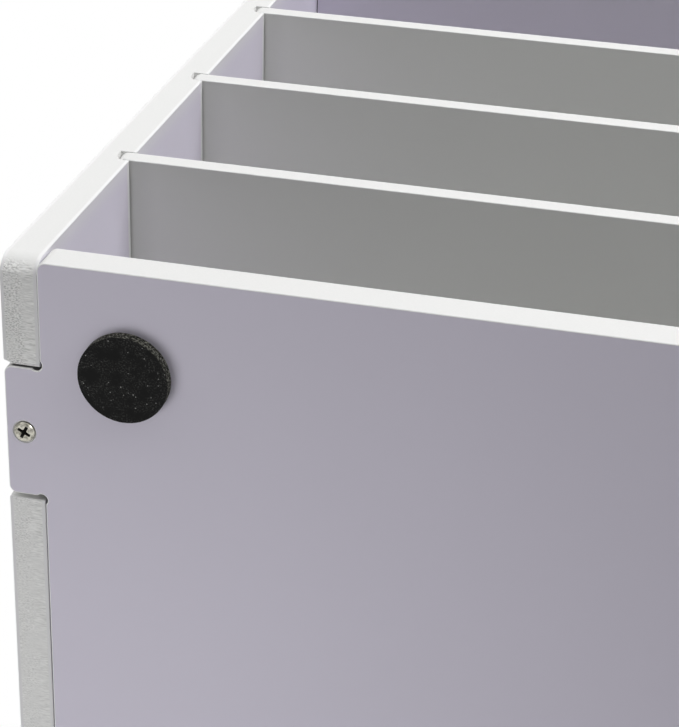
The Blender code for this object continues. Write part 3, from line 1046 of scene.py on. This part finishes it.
def recess_mesh():
    """A tapered cross, from above the head's face down to the recess's floor."""
    arm = RECESS_ARM_WIDTH / 2
    reach = RECESS_SPAN / 2
    web = Vector((arm + RECESS_WEB_RADIUS, arm + RECESS_WEB_RADIUS))
    quarter = [Vector((reach, -arm)), Vector((reach, arm))]
    quarter += arc(web, Vector((web.x, arm)), Vector((arm, web.y)), Vector((arm, arm)), ARRIS_STEPS * 2)
    cross = []
    for turn in range(4):
        cross.extend(Matrix.Rotation(turn * math.pi / 2, 2) @ point for point in quarter)
    slope = (1 - RECESS_FLOOR_SHARE) / RECESS_DEPTH
    rings = []
    for z in (-HEAD_PROUD - RECESS_DEPTH / 2, RECESS_DEPTH - HEAD_PROUD):
        share = 1 - slope * (z + HEAD_PROUD)
        rings.append([(*(point * share), z) for point in cross])
    return ring_mesh("recess", rings, 1)


def screw_mesh(materials):
    """A countersunk screw that drives along +Z, the board's face being at height zero."""
    _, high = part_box("bottom_left_front_screw")
    tip_z = high.z - BASE_Z
    flat_radius = HEAD_RADIUS - HEAD_BEVEL_WIDTH
    dome = [(flat_radius * share, HEAD_DOME * share * share - HEAD_PROUD)
            for share in np.linspace(DOME_START, 1, ROUND_STEPS)]
    rim_z = HEAD_DOME - HEAD_PROUD + HEAD_BEVEL_HEIGHT
    profile = dome + [(HEAD_RADIUS, rim_z), (SHANK_RADIUS, HEAD_RADIUS - SHANK_RADIUS + rim_z),
                      (SHANK_RADIUS, tip_z - POINT_LENGTH), (POINT_RADIUS, tip_z)]
    blank = turned_mesh(profile)
    for material in materials:
        blank.materials.append(material)
    return cut(blank, [recess_mesh()])


def add_screws(materials):
    """All eight screws, each turned a little further than the one before."""
    head = screw_mesh(materials)
    degrees = RECESS_TURN_DEGREES
    for level in LEVELS:
        for name, place in screw_places(level):
            mesh = head.copy()
            spin = Matrix.Rotation(math.radians(degrees), 4, "Z")
            mesh.transform(Matrix.Translation(place) @ level_turn(level) @ spin)
            piece = add_piece(name.replace("screw", "plated_screw"), mesh, name)
            smooth(piece, TURNED_SHARP_DEGREES)
            degrees += RECESS_TURN_STEP_DEGREES


def add_foot(name, materials):
    """A foam pad with a slightly wavy outline; its sole has the first material."""
    low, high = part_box(name)
    middle = Vector(((low.x + high.x) / 2, (low.y + high.y) / 2, 0))
    radius = (high.x - low.x) / 2
    rounding = [(radius - FOOT_EDGE_ROUND * (1 - math.sin(a)), FOOT_EDGE_ROUND * (1 - math.cos(a)))
                for a in np.linspace(0, math.pi / 2, ROUND_STEPS)]
    profile = rounding + [(radius, BASE_Z - FOOT_SEAT_GAP)]
    mesh = turned_mesh(profile, placing=Matrix.Translation(middle))
    for vertex in mesh.vertices:
        arm = (vertex.co - middle).to_2d()
        spot = Vector((*arm.normalized(), middle.x + middle.y)) * WAVES_SCALE
        arm *= 1 - FOOT_WAVINESS / radius * (1 + noise.noise(spot)) / 2
        vertex.co.xy = middle.xy + arm
    for material in materials:
        mesh.materials.append(material)
    for face in mesh.polygons:
        face.material_index = 0 if face.normal.z < -0.5 else 1
    piece = add_piece(name.replace("foot", "foot_pad"), mesh, name)
    smooth(piece, TURNED_SHARP_DEGREES)


# Stage


def floor_material():
    """Pale paper above, which runs out into bare white, and nothing at all from below."""
    material, shader = new_material("floor_paper")
    set_inputs(material, shader, {"Base Color": shade(FLOOR_COLOUR), "Roughness": FLOOR_ROUGHNESS})
    distance = node(material, "ShaderNodeVectorMath", {0: object_place(material)}, operation="LENGTH")
    far = smooth_range(material, distance.outputs["Value"], *FLOOR_FADE)
    white = node(material, "ShaderNodeEmission", {"Color": shade(WHITE), "Strength": 1.0}).outputs[0]
    paper = node(material, "ShaderNodeMixShader", {0: far, 1: shader.outputs[0], 2: white}).outputs[0]
    from_below = node(material, "ShaderNodeNewGeometry").outputs["Backfacing"]
    clear = node(material, "ShaderNodeBsdfTransparent").outputs[0]
    seen = node(material, "ShaderNodeMixShader", {0: from_below, 1: paper, 2: clear}).outputs[0]
    set_inputs(material, material.node_tree.nodes["Material Output"], {"Surface": seen})
    return material


def add_floor():
    """A pale floor with the object's shadow, seen from above only, that fades into the background."""
    bm = bmesh.new()
    low, high = -FLOOR_HALF, FLOOR_HALF
    corners = ((low, low), (high, low), (high, high), (low, high))
    bm.faces.new([bm.verts.new((x, y, -FLOOR_DROP)) for x, y in corners])
    floor = bpy.data.objects.new("floor", finished(bm, "floor"))
    bpy.context.scene.collection.objects.link(floor)
    floor.data.materials.append(floor_material())
    for kind in ("diffuse", "glossy", "transmission", "volume_scatter", "shadow"):
        setattr(floor, f"visible_{kind}", False)


def add_world():
    """White to the camera and in what shines or lets light through, and a dim light on all the rest."""
    world = bpy.data.worlds.new("studio")
    bpy.context.scene.world = world
    world.use_nodes = True
    rays = node(world, "ShaderNodeLightPath").outputs
    seen = rays["Is Camera Ray"]
    for name in ("Is Glossy Ray", "Is Transmission Ray"):
        seen = math_node(world, "MAXIMUM", seen, rays[name])
    strength = node(world, "ShaderNodeMapRange", {"Value": seen, "To Min": AMBIENT}).outputs["Result"]
    set_inputs(world, world.node_tree.nodes["Background"], {"Color": shade(WHITE), "Strength": strength})


def add_softbox(name, place, size, level, shown_in="all"):
    """A square lamp that looks at the origin, at a level that its distance doesn't change."""
    lamp = bpy.data.lights.new(name, "AREA")
    lamp.shape = "SQUARE"
    lamp.size = size
    lamp.energy = level * (math.pi * Vector(place).length) ** 2
    thing = bpy.data.objects.new(name, lamp)
    bpy.context.scene.collection.objects.link(thing)
    thing.location = place
    thing.rotation_euler = (-Vector(place)).to_track_quat("-Z", "Y").to_euler()
    thing.visible_camera = False
    thing.visible_glossy = shown_in != "diffuse"
    thing.visible_diffuse = shown_in != "glossy"


def add_camera():
    """The photograph's camera: its place and direction, without a shift."""
    camera = bpy.data.objects.new("camera", bpy.data.cameras.new("camera"))
    bpy.context.scene.collection.objects.link(camera)
    camera.data.sensor_width = SENSOR_MM
    camera.data.lens = FOCAL_LENGTH_PX * SENSOR_MM / PHOTO_HEIGHT_PX
    camera.data.clip_start = CLIP_START
    look = CAMERA_LOOK.normalized()
    right = CAMERA_DOWN.cross(look).normalized()
    up = right.cross(look)
    rotation = Matrix((right, up, -look)).transposed()
    camera.matrix_world = Matrix.Translation(CAMERA_PLACE) @ rotation.to_4x4()
    bpy.context.scene.camera = camera


def main():
    """Puts up the stage, then every piece of the mail sorter."""
    bpy.context.scene.view_settings.view_transform = "Standard"
    add_camera()
    add_world()
    add_floor()
    for name, settings in SOFTBOXES.items():
        add_softbox(name, *settings)

    faces = face_material()
    shelf_faces = shelf_face_material()
    side_edges = edge_material("side_edge", "X", INNER_HALF_WIDTH, HALF_WIDTH, milled=True)
    side_faces = side_face_material()
    for side, hand in SIDES.items():
        add_side_board(side, hand, [side_faces, side_edges])
    for level, low, high, skin in (("bottom", BOTTOM_LOW, BOTTOM_HIGH, bottom_face_material()),
                                   ("top", TOP_LOW, TOP_HIGH, faces)):
        add_tabbed_board(level, [skin, edge_material(f"{level}_edge", "Z", low.z, high.z, shaded_slits=True)])
    for name in SHELVES:
        low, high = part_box(name)
        add_shelf(name, [shelf_faces, edge_material(f"{name}_edge", "Z", low.z, high.z)])
    add_back_board([faces, edge_material("back_edge", "Y", BACK_LOW.y, BACK_HIGH.y)])
    add_screws([screw_material(), recess_shade_material()])
    foams = [foam_material(), cut_foam_material()]
    for end in ENDS:
        for side in SIDES:
            add_foot(f"{end}_{side}_foot", foams)


main()
